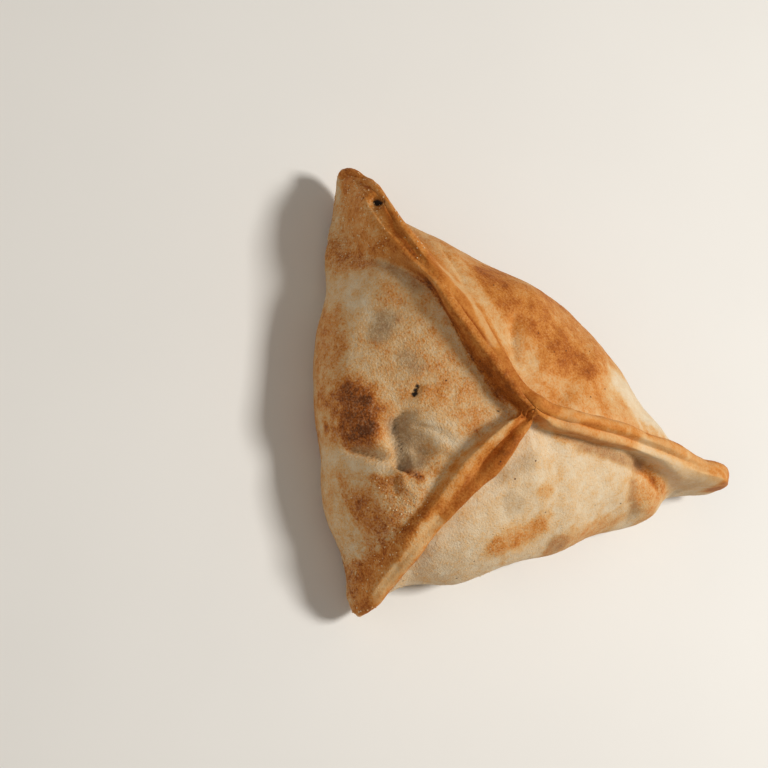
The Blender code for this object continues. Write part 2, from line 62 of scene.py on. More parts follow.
# A seam's sizes are given at equal steps from the centre to its corner. "before" and "after" are
# its two sides, clockwise and anticlockwise as seen from above.
#   tip      the corner in plan
#   nose     length over which the corner rounds off
#   crest    height of the pinched crest above the floor
#   lift     height of the underside above the floor
#   groove   depth of the line between the two lips
#   bow      sideways bend of the seam, positive to the anticlockwise side
#   lean     how far the crest tips over to the anticlockwise side
#   wall     height of the lip above the panel beside it
#   lip      thickness of the lip, from the groove to the wall's face
#   gap      how far the top of the lip stands from the groove
#   splay    how far the wall runs out as it drops, as a share of its height
#   drop     how much lower than the crest this lip ends
#   slant    how far the lip and wall flatten into one straight slope, from 0 to 1
#   fin      least half width of the pie on this side
SEAMS = {
    "left": {
        "tip": (-51, -7.5),
        "nose": 6,
        "crest": (39.5, 37, 33, 26.5, 13.5),
        "lift": (0, 0, 0, 0.6, 5),
        "groove": (0.3, 0, 0.7, 1.1, 0.2, 1, 1.4, 1.2, 0.5),
        "bow": (0, 0.6, 2, 4, 0),
        "lean": (0, 0.2, 0.7, 1.4, 1.3, 0.8, 0.4, 0.2, 0),
        "before": {
            "wall": (5, 3.2, 3.5, 7.5, 6),
            "lip": (2.2, 2.8, 3, 4, 3.4),
            "gap": (0.6, 0.7, 0.8, 1.5, 1.2),
            "splay": (0.2, 0.9, 1.2, 0.6, 0.4),
            "drop": (0, 0.4, 0.4, 0, 0),
            "slant": (0, 0.4, 0.4, 0.1, 0),
            "fin": (4, 4, 4, 6, 4),
        },
        "after": {
            "wall": (5, 5.6, 5.2, 4.2, 3.8, 6, 9, 8, 6),
            "lip": (1.8, 2.4, 2.8, 2.6, 2.5, 2.6, 3.4, 3, 2.2),
            "gap": (0.6, 0.6, 0.6, 0.6, 0.7, 0.8, 0.9, 0.9, 0.8),
            "splay": (0.05, 0.05, 0.05, 0.5, 0.3),
            "drop": (0, 0, 0, 0, 0.3, 1.6, 2.2, 1.9, 0.9),
            "slant": (0, 0.2, 0.1, 0, 0.1, 0.4, 0.7, 0.6, 0.4),
            "fin": (4, 4, 4, 1.2, 0.8),
        },
    },
    "front": {
        "tip": (37.8, -49.1),
        "nose": 5,
        "crest": (39.5, 35.5, 30, 23, 11),
        "lift": (0, 0, 0, 0.8, 3),
        "groove": (0.3, 1.1, 1.5, 0.4, 0, 0, 0, 0, 0),
        "bow": (0, -1.1, -1.8, -1.9, -2, -2.2, -2.3, -1.5, 0),
        "lean": (0, 0.1, 0.1, 0, 0, 0, 0, 0, 0),
        "before": {
            "wall": (5, 4.4, 3.6, 2.8, 2.4, 2.2, 2.4, 3, 3.6),
            "lip": (1.8, 3, 3.8, 3.8, 3.6, 3.2, 3, 2.8, 2.6),
            "gap": (0.8, 1.8, 2.2, 1.6, 1.2, 1.1, 1, 1, 1),
            "splay": (0.12, 0.3, 0.6, 0.8, 0.6),
            "drop": (0, 0.5, 0.3, 0, 0),
            "slant": (0, 0.1, 0.3, 0.5, 0.4),
            "fin": (4, 4, 4, 3.2, 2),
        },
        "after": {
            "wall": (5, 5, 5.5, 8, 5),
            "lip": (1.8, 2.4, 3.8, 3, 2.4, 2.2, 3.2, 4.2, 3.2),
            "gap": (0.8, 1.4, 1.6, 1.5, 1.2, 1, 0.8, 0.8, 0.8),
            "splay": (0.05, 0.05, 0.1, 0.3, 0.4),
            "drop": (0, 0, 0, 0, 0),
            "slant": (0, 0, 0, 0.3, 0.3),
            "fin": (4, 4, 4, 4.8, 3.4),
        },
    },
    "back": {
        "tip": (50.8, 48.4),
        "nose": 8,
        "crest": (39.5, 38.2, 36.5, 34.2, 31.5, 28.6, 25.4, 22.4, 15),
        "lift": (0, 0, 0, 0.6, 3.2),
        "groove": (0.3, 0.7, 1.3, 1.5, 1.4, 1.1, 0.5, 0.2, 0),
        "bow": (0, 0.5, 0.9, 0.1, 0),
        "lean": (0, -0.4, -0.8, -0.6, 0),
        "before": {
            "wall": (5, 4.4, 4, 4, 4.4, 5, 5.5, 5.5, 5),
            "lip": (1.8, 2.2, 2.4, 3, 3.4),
            "gap": (0.8, 0.8, 0.9, 1.1, 1),
            "splay": (0.1, 0.1, 0.2, 0.9, 0.7),
            "drop": (0, 0.9, 1.2, 0.9, 0.2),
            "slant": (0, 0, 0.1, 0.6, 0.4),
            "fin": (4, 4, 4, 1.6, 2.8),
        },
        "after": {
            "wall": (5, 4.5, 5, 7, 5),
            "lip": (2.2, 2.3, 2.6, 3.5, 2.8),
            "gap": (0.8, 0.9, 1, 1.1, 1),
            "splay": (0.15, 0.15, 0.2, 0.4, 0.3),
            "drop": (0, 0, 0, 0, 0),
            "slant": (0, 0, 0, 0.2, 0.2),
            "fin": (4, 4, 4, 4.4, 3.4),
        },
    },
}

# The panels, anticlockwise from above, each from one seam's corner to the next one's.
#   outline  how far the widest line stands out past the straight line between the corners, at
#            equal steps along it
#   fullness how round the panel is: 1 is a flat slope, 2 a quarter ellipse
#   widest   height of the widest line, as a share of the panel's height at the seam
#   inset    how far the edge on the floor lies inside the widest line
#   fillet   extra width where the seams meet
#   bare     how baked the dough is between its marks, from 0, raw, to 1, nearly burnt
#   sand     how grainy its dough is, as a share of the usual
PANELS = {
    "front": {
        "seams": ("left", "front"),
        "outline": (-2, 1.6, 3.2, 6.9, 8.4, 7.4, 6.4, 2.8, -0.6),
        "fullness": 1.62, "widest": 0.34, "inset": 7, "fillet": 0, "bare": 0.42,
        "sand": 1.15,
    },
    "right": {
        "seams": ("front", "back"),
        "outline": (0.2, -2.6, 0.8, 1.2, 1.3, 0.4, 1.5, -1.2, -0.5),
        "fullness": 1.7, "widest": 0.32, "inset": 6, "fillet": 0.3, "bare": 0.23,
        "sand": 0.9,
    },
    "back": {
        "seams": ("back", "left"),
        "outline": (1, 0.8, 0.9, 5.2, 6.2, 4, 0, -0.2, 1),
        "fullness": 1.75, "widest": 0.36, "inset": 6, "fillet": 0.4, "bare": 0.46,
        "sand": 0.75,
    },
}

# Marks of the fingers, the filling and the oven: each swells (or, below zero, sinks) the skin round
# the line between two points. Radius and height are in millimetres.
MARKS = {
    "blister over the filling": ((-1.5, -34, 21), (-1, -33, 22), 5.5, 1.3),
    "fold under the blister": ((3.5, -39, 18), (11.5, -33, 24.5), 1.8, -1),
    "hollow in the front panel": ((6.5, -31, 25), (10.5, -29, 27), 3.4, -2.6),
    "wrinkle under the hollow": ((13.5, -34, 24.5), (17, -31, 26.5), 1.8, 0.9),
    "swelling by the front corner": ((15, -39.5, 20.5), (19, -39, 20.5), 5.5, 0.8),
    "dip by the left corner": ((-16.5, -22, 22.5), (-11, -21.5, 25.5), 6, -0.6),
    "roll over the centre": ((8, -7.5, 38.5), (12.5, -5.5, 39.5), 2, 0.7),
    "roll over the centre, going on": ((12.5, -5.5, 39.5), (18, 1, 38.5), 2, 0.7),
    "dome of the back panel": ((-5, 10, 28), (9, 15, 29), 10, 2),
    "valley beside the left seam": ((-25, -2, 29), (3, 0.5, 34), 3.2, -0.8),
    "valley beside the back seam": ((11, 5, 33.5), (25, 27, 26), 4, -0.6),
    "outer pleat": ((-23.5, -7, 31.5), (-17, -5, 33), 1.8, -0.6),
    "inner pleat": ((-4.5, 3, 31.5), (1.5, -1.5, 35), 1.8, -0.8),
    "hollow in the right panel": ((23, -3, 32), (32, 13, 28), 5, -0.7),
    "dip in the right panel's edge": ((44, -9, 9), (44, -11, 9), 5, -0.9),
    "dimple of the back corner": ((36, 21.5, 22.5), (42, 27.5, 16), 2.8, -2.2),
    "fold of the back corner": ((43, 23, 16), (45.5, 26, 11), 3, 1.2),
    "hole in the left corner": ((-41, -10.5, 21.5), (-40, -10.5, 22), 1.4, -1.2),
    "crease under the left corner": ((-37.5, -14.5, 9.5), (-35.5, -14.5, 13), 2.2, -1),
}

# Creases too fine for the plain solid, in plan: a chain of points, how far the crease reaches to
# each side, and its height, below zero where it sinks. Some run over the panels and some over the
# pinched seams.
PANEL_FOLDS = {
    "slit in the front panel": ((-1.2, -22.9), (-0.4, -23.8), (0.4, -24.7), 0.35, -0.9),
    "lip of the slit": ((0.2, -22.5), (1.8, -24.5), 0.8, 0.3),
    "crease under the blister": ((5, -38.5), (8.5, -36), (12.5, -33), 0.9, -1.5),
    "edge of the hollow": ((3, -28.5), (6, -31), (12.5, -33.5), 0.9, -1.3),
    "wrinkle under the hollow": ((13.5, -34.5), (16.5, -35), (20, -33.5), 0.9, 0.8),
    "first wrinkle beside the hollow": ((6.5, -27), (9, -24.5), (12, -23), 0.7, -0.8),
    "second wrinkle beside the hollow": ((11, -29), (15, -24.5), 0.7, -0.8),
    "crease in the hollow": ((4, -29.8), (9, -30.5), (14, -33), 0.6, -0.9),
    "crease under the hollow": ((14.5, -35.5), (17, -36.5), 0.6, -0.8),
    "crease of the left corner's neck": ((-39, -16), (-35.5, -14), (-32, -14), 1.4, -0.8),
    "outer pleat": ((-25, -1.5), (-20, -2), (-16, -3.5), 0.8, -0.5),
    "inner pleat": ((-5, 3), (-1, 0), (2.5, -1.5), 0.8, -0.7),
    "crease of the back corner": ((36, 21.5), (40.5, 24.5), (43, 26), 0.8, -0.8),
    "edge of the back corner's fold": ((38.5, 18.5), (42, 17.5), (46, 19), 1.2, -0.6),
    "neck of the back corner's nose": ((43, 33.5), (46.5, 35), 1.4, -0.8),
}
SEAM_FOLDS = {
    "where the front seam tucks in": ((12, -10), (14.5, -8.5), (17.5, -5.5), 0.9, -1.3),
    "notch in the left corner": ((-49.5, -8.5), (-47.5, -7), 0.7, -0.8),
    "hole in the left corner": ((-40.6, -9.4), (-40.2, -9.1), 0.6, -1),
    "crease of the left corner": ((-46, -8.5), (-40.5, -9.3), (-33, -11.3), (-26, -10.7), 0.5, -0.9),
    "crease of the back corner's nose": ((42.5, 39), (45, 41), (47.5, 43.5), 0.9, -0.5),
}

# What the oven did to the dough, with painted shade and painted light among it, in plan: a chain of
# points, the stroke's half width, the level that it pulls the dough to, and how strongly. Browning
# goes from 0, raw, to 1, nearly burnt; some browning strokes are painted shade in creases, under lips
# and at the walls' feet, and some are painted light on lit flanks and ridges. The filling that shows
# through, flour and char go from 0, none, to 1; some filling strokes are painted shade in creases and
# under lips and corners, and the char in the hole and the slit is painted shade in those openings.
PANEL_BROWNING_AND_SHADE = {
    "round the blister": ((-5.5, -33.4), (3, -35.4), 4.5, 0.6, 0.9),
    "blister": ((-5, -34), (2.5, -36), 3.2, 0.92, 1),
    "spot by the left corner": ((-25, -20), (-20.5, -18.5), (-17.5, -17), 2.8, 0.5, 0.95),
    "over the filling": ((-13, -18.5), (-8.5, -16), (-1.5, -16.5), 3, 0.44, 0.9),
    "round the slit": ((0, -24.5), (3, -22.5), (1.5, -19.5), 2.6, 0.54, 0.9),
    "beside the middle": ((4, -16), (10, -15.5), 3, 0.5, 0.85),
    "darker spot beside the middle": ((9.5, -17.5), (11.5, -16.5), 1.6, 0.64, 0.8),
    "front panel's left edge": ((-25, -24.5), (-20, -28.5), (-14, -33), 2.2, 0.58, 0.85),
    "left corner's neck": ((-36, -15.5), (-31, -16.5), 3, 0.66, 0.85),
    "spot under the hollow": ((13, -37.5), (16, -36.5), 2.4, 0.62, 0.95),
    "front panel's low spot": ((16, -41.8), (21.5, -41.5), 2.6, 0.7, 0.95),
    "above the low spot": ((19, -37.5), (25, -38.5), 2.6, 0.5, 0.7),
    "hole in the front panel": ((14.5, -32.8), (16.5, -31.8), 1, 0.86, 0.9),
    "front corner": ((22, -41), (29, -44), (35, -47.5), 3, 0.66, 0.9),
    "pale edge by the front corner": ((17, -45.5), (25, -45.5), 1.8, 0.34, 0.8),
    "cream under the blister": ((4, -41.5), (8, -39.5), (12, -36), 1.8, 0.28, 0.9),
    "pale by the left corner": ((-28, -21.5), (-18, -24.5), 2.8, 0.28, 0.9),
    "pale over the blister": ((-11, -28.5), (-5, -27.5), 2.4, 0.36, 0.7),
    "pale beside the hollow": ((8.5, -25), (13.5, -22), 2.4, 0.24, 0.9),
    "pale by the middle": ((9.5, -12), (11.5, -12), 1.4, 0.34, 0.7),
    "gold spot": ((30.5, -7), (31.5, -6), 1.8, 0.48, 0.9),
    "pale gold above it": ((26, -5), (30, -0.5), 2.4, 0.28, 0.8),
    "right panel's brown spot": ((37.5, -19), (37.5, -13.5), (37.5, -8.5), 3, 0.52, 0.95),
    "darker in the brown spot": ((38, -18), (38.5, -14.5), 1.6, 0.62, 0.6),
    "right panel's lower edge": ((43.5, -3.5), (44.5, 3), (45, 14), 2.6, 0.47, 0.95),
    "end of the lower edge": ((43.5, -4), (44, -1.5), 1.8, 0.6, 0.7),
    "fold of the back corner": ((41, 20), (46, 24), 3.6, 0.54, 0.9),
    "belly of the back corner": ((38, 25), (44, 30), 2.6, 0.6, 0.9),
    # Painted shade in the crease of the back corner's dimple.
    "crease of the back corner": ((36.5, 21.8), (40.5, 24.5), (43, 26), 0.9, 0.74, 0.7),
    "right panel by the front corner": ((34, -37), (41, -26), 4, 0.22, 0.6),
    # Painted shade under the back seam's lower lip.
    "under the back seam": ((21, -0.5), (27, 7.5), (32, 15), (36, 22), 1.7, 0.52, 0.9),
    "dome": ((-14, 4.5), (-3, 8.5), (9, 12.5), 7, 0.69, 1),
    "dome's far side": ((-12, 13), (0, 20), (9, 24), 8, 0.62, 0.9),
    "dome's dark spot": ((6.5, 13), (11, 15), 2.8, 0.76, 0.85),
    "dome's left spot": ((-17, 4), (-13, 5.5), 2.4, 0.78, 0.8),
    "dome's middle spot": ((-8.5, 16), (-7, 18), 2, 0.74, 0.7),
    "valley by the left seam": ((-22, -2.5), (-14.5, -1.5), (5, -1), 1.8, 0.42, 0.9),
    "gold by the middle": ((12, 2), (15.5, 8), (19, 14.5), 3.2, 0.58, 0.95),
    "pale by the back corner": ((18, 25), (25, 29.5), (33, 37), 4.5, 0.08, 0.9),
    "back of the left corner": ((-30, -4), (-22, 2), 3.5, 0.5, 0.8),
}
SEAM_BROWNING_LIGHT_AND_SHADE = {
    "hollow of the front seam": ((17.5, -13.5), (20, -18), 1.7, 0.8, 0.9),
    "pale lip of the front seam": ((12.5, -12), (15.5, -16.5), 1.6, 0.42, 0.9),
    "curl of the front seam": ((18, -9), (21.5, -15), 1.2, 0.5, 0.8),
    # Partly the dough's own orange, partly painted light: the front corner's right flank is painted
    # lighter where the light falls on it.
    "front corner's right flank": ((26, -33), (31.5, -41.5), (35, -46), 1.9, 0.42, 0.95),
    "front seam's left flank": ((14.5, -17), (17.5, -23), (21.5, -29), 1.6, 0.46, 0.8),
    "back seam's lower lip": ((17.5, -4), (25.5, 8.5), (31.5, 19.5), (36.5, 25), 1.5, 0.46, 0.85),
    "back seam's upper lip": ((17.5, 0), (21.5, 9.5), (28.5, 20), 1.6, 0.5, 0.8),
    # Partly the lip's own gold, partly a painted highlight along it.
    "left seam's right lip": ((-22, -7), (-13, -5.5), (-3, -7), 1.5, 0.42, 0.85),
    # Painted light: the roll is painted lighter over the shade on its wall.
    "left corner's roll": ((-44, -7.8), (-36, -8.8), (-27, -9.8), 1.8, 0.58, 0.85),
    # Painted shadow: the dark line in the crease beside the roll.
    "left corner's crease": ((-46, -8.7), (-40.5, -9.6), (-33, -11.7), (-26, -11.1), 0.5, 0.88, 0.9),
    "left corner's lower lip": ((-40.5, -11.2), (-38.5, -11.6), (-34.5, -12.2), 0.8, 0.74, 0.9),
    "left corner's face": ((-44, -11), (-34, -14), 3, 0.58, 0.8),
    "foot of the left corner": ((-30, -16), (-20, -13.5), 2.2, 0.5, 0.8),
    # Painted shade on the flank that faces away from the light.
    "shaded flank by the middle": ((1, -11.5), (8, -10), (12.5, -8.5), 1.6, 0.78, 0.85),
    # Painted light: the corner's side is painted lighter where the light falls on it.
    "back corner's side": ((33, 20), (39, 26), (48, 38), 3.2, 0.28, 0.95),
    # Partly the top's own browning, partly painted shade: the top is painted darker for how the light
    # falls on it.
    "back corner's top": ((33, 24.5), (38, 30.5), (46.5, 42.5), 2, 0.5, 0.95),
    # Painted shade in the crease of the nose.
    "back corner's crease": ((44.5, 39.5), (47.5, 42), 0.6, 0.68, 0.7),
}
# Painted shade: dark brown where the seams' walls meet the panels, standing for the shade at their
# feet.
FOOT_SHADE = {  # along the feet of the seams' walls
    "left seam over the front panel": ((-20, -13), (-5, -13), (9, -11.5), 2.6, 0.9, 1),
}
FILLING_AND_SHADE_STROKES = {
    "filling under the left corner": ((-17, -21.5), (-14.5, -23.5), 2.4, 1, 0.7),
    "filling above the slit": ((-7.5, -22), (-5, -21.5), 1.9, 1, 0.5),
    "filling in the hollow": ((4.5, -29.5), (10, -29.5), (13, -30.5), 2.7, 1, 0.8),
    "filling in the right panel": ((23.5, -15), (23.5, -9), 2, 1, 0.4),
    "filling under the front seam": ((29, -15), (31, -14), 2, 1, 0.35),
    # Painted shade along the foot of the back seam, under its lower lip.
    "foot of the back seam": ((20, 0), (27, 7.5), (32, 15), (36, 22), 1.5, 1, 0.55),
    "end of the lower edge": ((42.5, -4.5), (44, -2), 1.8, 1, 0.4),
    # Painted shadow under the back corner's nose.
    "under the back corner's nose": ((43.5, 33.5), (46.5, 35.5), 1.8, 1, 0.4),
    # Painted shade under the left corner.
    "under the left corner": ((-27.5, -14.5), (-20, -13.5), 1.8, 1, 0.45),
    # Painted shade in the crease under the blister.
    "crease under the blister": ((5.5, -37.5), (9.5, -34.5), 0.9, 1, 0.5),
    # Painted shade in the crease in the hollow.
    "crease in the hollow": ((4.5, -29.8), (9, -30.6), (13.5, -32.8), 1, 1, 0.9),
    # Painted shade along the edge of the back corner's fold.
    "edge of the back corner's fold": ((39, 18.5), (42, 17.8), (46, 19.5), 1.3, 1, 0.45),
}
FLOURING = {
    "left corner": ((-48, -9), (-42, -11), 4.5, 1, 0.8),
    "left corner's neck": ((-37, -14), (-32, -16), 3.5, 1, 0.9),
    "left corner's roll": ((-42, -8), (-26, -9.5), 2, 1, 0.5),
    "front corner": ((26, -44), (34, -49), 3.6, 1, 0.9),
    "front panel by the front corner": ((18, -37), (26, -39), 3.5, 1, 0.6),
    "front seam": ((18, -31), (26, -42), 2.6, 1, 0.5),
    "under the hollow": ((11, -36.5), (14, -41), 3, 1, 0.3),
    "right panel": ((34, -36), (38, -22), 6, 1, 0.35),
}
CHAR_AND_OPENING_SHADE_STROKES = {
    # Painted shade: the hole drawn near black.
    "hole in the left corner": ((-40.6, -9.4), (-40.2, -9.1), 0.8, 1, 1),
    # Painted shade: the slit and its wide end drawn near black.
    "slit": ((-1.1, -23), (-0.4, -23.8), (0.3, -24.5), 0.54, 1, 1),
    "wide end of the slit": ((0, -24.2), (0.3, -24.5), 0.68, 1, 1),
    "speck by the middle": ((10.9, -11.6), (11.1, -11.4), 0.4, 1, 0.8),
}
BASE_BROWNING = 0.55
SEAM_BROWNING_LEVEL = 0.69
STROKE_WANDER = 0.16  # how unevenly a stroke's edge runs
STROKE_EDGE = (0.35, 1.35)  # over which a stroke fades out, in half widths

# By place on a rib: up out of the groove from 0 to 1, over the lip to 2, down the wall to 3, over
# the filling to 4 and under the widest line to 5.
LIP_ENDS = (2.2, 3.0)  # over which a seam's folds and colours give way to the panel's
FOOT_BEGINS, FOOT_ENDS = (1.8, 2.3), (2.95, 3.03)
MARKS_FADE = (4.1, 4.6)  # over which the panel's marks fade
MARKS_FADED = 0.7  # how far they do
# The filling that shows through and the painted shade greyed in with it both lose this much on a lip.
LIP_GREY_LOSS = 0.7  # how much less the filling shows through a lip
LIP_SAND_LOSS = 0.4  # how much less grainy a lip is
FLOUR_SAND = 0.45  # how much grainier floury dough is

# Heights over which the skin's folds, and then its relief, come in above the flat base.
FOLDS_BEGIN, RELIEF_BEGINS = (0.5, 5.0), (0.5, 4.0)

PINCH = 0.35  # how far the fingers' pinches raise and lower the crest
PINCH_LENGTH = 10.0  # from one pinch to the next
PINCH_BEGINS = (2.0, 9.0)  # how far from the centre the pinches come in
UNEVEN = 0.35  # how far the skin wanders from its true shape
UNEVEN_LENGTH = 17.0  # from one rise to the next

JOINT_BEND = 0.4  # how sharply the seams sweep into each other at the centre
JOINT_REACH = 6.0
FILLET_REACH = 4.5  # how far from the centre a fillet fades out
REACH_BLEND = 2.0  # over which a rib goes from its corner's least width to the panel's outline
SEAM_MIX = 0.06  # over which a panel goes from one seam's sizes to the other's
SQUARE_FROM = (0.55, 0.95)  # along a seam, where the ribs turn square to it

# On a short rib, the most of its reach that its lip, its wall's foot and its inset take up, and the
# most of its lip that its gap does.
LIP_SHARE, FOOT_SHARE, INSET_SHARE = 0.8, 0.93, 0.55
GAP_SHARE = 0.6

# Colours, from raw to nearly burnt, whose dark end the painted shade strokes also reach, then the
# filling's shadow through the dough, which also colours painted shade in creases and under lips,
# flour, the painted shadows between its crumbs, and char, which also colours the painted shade in
# the hole and the slit.
BAKING = (
    (0.00, (0.80, 0.68, 0.50)),
    (0.20, (0.75, 0.565, 0.355)),
    (0.40, (0.71, 0.425, 0.18)),
    (0.60, (0.62, 0.235, 0.042)),
    (0.78, (0.40, 0.105, 0.008)),
    (1.00, (0.13, 0.032, 0.003)),
)
FILLING_AND_SHADE_COLOUR = (0.30, 0.215, 0.13)
DUST = (0.80, 0.66, 0.46)
FLOUR = (0.80, 0.64, 0.40)
TOASTED_FLOUR = (0.70, 0.46, 0.22)
CRUMB_SHADOW = (0.30, 0.15, 0.06)
CHAR_AND_OPENING_SHADE_COLOUR = (0.02, 0.012, 0.008)
SPECK = (0.10, 0.035, 0.012)
FLOOR_COLOUR = (0.80, 0.79, 0.77)

# The dough's lumps of colour: their size, then the detail and roughness of their noise.
LUMPS = {
    "broad": (7, 4, 0.6),
    "patch": (2.6, 5, 0.65),
    "grain": (0.42, 2, 0.6),
    "dust": (0.55, 3, 0.7),
}
SPECK_SPACING, SPECK_EDGE = 5, (0.02, 0.06)  # the edge is in spacings
BUMP_HEIGHT = 0.10
MATT = {"Specular IOR Level": 0.2}

# The mesh's own fine relief, and the strewn lumps of flour.
RELIEF = {"Wrinkle height": 0.22, "Wrinkle length": 4.5, "Pimple height": 0.10, "Pimple length": 1.6}
FLOUR_SIZES = {"Clump": 1.7, "Smallest": 0.06, "Largest": 0.28}
FLOUR_SHAPES = (0.6, 0.6, 0.5), (1.3, 1.0, 0.9)  # from least to most, as shares of a lump's size
FLOUR_LUMPS = 3e6  # per square metre where the dough is floury
FLOUR_SEED = 7

RIBS = 216  # per panel
RIDGE_STEPS, PANEL_STEPS, UNDER_STEPS = 64, 54, 18
BASE_RINGS = (0.97, 0.9, 0.7, 0.4, 0.0)  # as shares of the base's own edge
BASE_FLAT = (0.6, 1.0)  # over which the base rises from the floor to a lifted edge
DENSE = 90  # samples per part of a rib before it is smoothed
SMOOTHING_PASSES = 36
WELD = 0.01  # between points that the panels share

# Soft boxes: direction from the pie, distance and size in metres, watts and colour.
LAMPS = {
    "key": ((0.25, 0.49, 0.85), 0.7, 0.16, 3.95, (1.0, 0.97, 0.92)),
    "fill": ((-0.3, -0.8, 0.7), 0.8, 0.60, 0.85, (1.0, 0.94, 0.86)),
}
ROOM_COLOUR = (1.0, 0.93, 0.82)
ROOM_STRENGTH = 0.24

CAMERA_LENS = 100.0
CAMERA_ELEVATION, CAMERA_ROLL = 62.0, 65.0
CAMERA_DISTANCE = 0.4638  # metres
CAMERA_AIM = (-4.25, -20.95, 10.5)  # millimetres


def stations(values, s):
    """A smooth curve through values at equal steps of s from 0 to 1."""
    values = np.asarray(values, float)
    count = len(values) - 1
    x = np.clip(s, 0, 1) * count
    k = np.minimum(x.astype(int), count - 1)
    t = x - k
    padded = np.concatenate([[2 * values[0] - values[1]], values, [2 * values[-1] - values[-2]]])
    a, b, c, d = padded[k], padded[k + 1], padded[k + 2], padded[k + 3]
    slope_in, slope_out = (c - a) / 2, (d - b) / 2
    return (
        b
        + slope_in * t
        + (3 * (c - b) - 2 * slope_in - slope_out) * t**2
        + (2 * (b - c) + slope_in + slope_out) * t**3
    )


def waves(points, length, seed, count=9):
    """A smooth field over the points, mostly within 1 either way, that repeats about every length."""
    generator = np.random.default_rng(seed)
    field = np.zeros(len(points))
    for _ in range(count):
        way = generator.normal(size=points.shape[1])
        way *= 2 * math.pi / (length * generator.uniform(0.75, 1.35) * np.linalg.norm(way))
        field += np.sin(points @ way + generator.uniform(0, 2 * math.pi))
    return field / math.sqrt(count)


def smoothstep(low, high, x):
    t = np.clip((x - low) / (high - low), 0, 1)
    return t * t * (3 - 2 * t)


def smooth_max(a, b, width):
    h = np.clip(0.5 + 0.5 * (a - b) / width, 0, 1)
    return b + (a - b) * h + width * h * (1 - h)


def blend(first, second, share):
    """From the first to the second as share goes from 0 to 1."""
    return first * (1 - share) + second * share


def joint_bend(seam):
    """The left seam runs on into the back seam in one curve, so both start off bent towards it."""
    return {"left": JOINT_BEND, "back": -JOINT_BEND, "front": 0.0}[seam]


def seam_plan(seam, s):
    """Points in plan along a seam, and the unit vectors along it and to its anticlockwise side."""
    size = SEAMS[seam]
    tip = np.array(size["tip"])
    along = tip - CENTRE
    length = np.linalg.norm(along)
    along = along / length
    side = np.array([-along[1], along[0]])
    run = s * length
    offset = stations(size["bow"], s) + joint_bend(seam) * run * np.exp(-run / JOINT_REACH)
    return CENTRE + np.outer(run, along) + np.outer(offset, side), along, side


def nose_closing(seam, s):
    """The share of its full section that a corner keeps as it rounds off to its tip."""
    length = np.linalg.norm(np.array(SEAMS[seam]["tip"]) - CENTRE)
    start = 1 - SEAMS[seam]["nose"] / length
    t = np.clip((s - start) / (1 - start), 0, 1)
    return np.sqrt(np.maximum(1 - t * t, 0))


class PanelSizes:
    """The sizes of one panel's ribs, each an array over u, which runs from one corner to the next."""

    def __init__(self, panel, u):
        self.first, self.second = PANELS[panel]["seams"]
        self.to_first = np.maximum(1 - 2 * u, 0)
        self.to_second = np.maximum(2 * u - 1, 0)
        self.mix = smoothstep(0.5 - SEAM_MIX, 0.5 + SEAM_MIX, u)
        self.first_half = u <= 0.5

    def own(self, first, second):
        """What belongs to the seam that each rib starts on."""
        return np.where(self.first_half, first, second)

    def seam(self, key):
        """A size of the seam that the rib starts on, the same on both its sides."""
        return self.own(
            stations(SEAMS[self.first][key], self.to_first),
            stations(SEAMS[self.second][key], self.to_second),
        )

    def side(self, key):
        """A size of the seams' sides that face this panel, blended at the centre."""
        first = stations(SEAMS[self.first]["after"][key], self.to_first)
        second = stations(SEAMS[self.second]["before"][key], self.to_second)
        return blend(first, second, self.mix)


def rib_layout(panel, sizes):
    """Where each rib starts on the groove, which way it points in plan and how far it reaches."""
    first, second = sizes.first, sizes.second
    s_first, s_second = sizes.to_first, sizes.to_second
    halves = sizes.first_half[:, None]
    plans = zip(seam_plan(first, s_first), seam_plan(second, s_second))
    start, along, side = [np.where(halves, *plan) for plan in plans]
    tip_a, tip_b = np.array(SEAMS[first]["tip"]), np.array(SEAMS[second]["tip"])
    chord_length = np.linalg.norm(tip_b - tip_a)
    chord = (tip_b - tip_a) / chord_length
    outward = np.array([chord[1], -chord[0]])
    # The widest line's place along the chord, level with the rib's start.
    place = np.clip((start - tip_a) @ chord / chord_length, 0, 1)
    inside = -(start - tip_a) @ outward
    wide = inside + stations(PANELS[panel]["outline"], place)
    # Towards a corner the ribs turn square to the seam.
    facing = np.where(halves, 1.0, -1.0) * side
    turn = smoothstep(*SQUARE_FROM, sizes.own(s_first, s_second))[:, None]
    ways = blend(outward, facing, turn)
    ways /= np.linalg.norm(ways, axis=1, keepdims=True)
    return SimpleNamespace(
        start=start,
        ways=ways,
        side=side,
        reach=smooth_max(sizes.side("fin"), wide, REACH_BLEND),
        closing=sizes.own(nose_closing(first, s_first), nose_closing(second, s_second)),
        squareness=np.abs(along[:, 0] * ways[:, 1] - along[:, 1] * ways[:, 0]),
    )


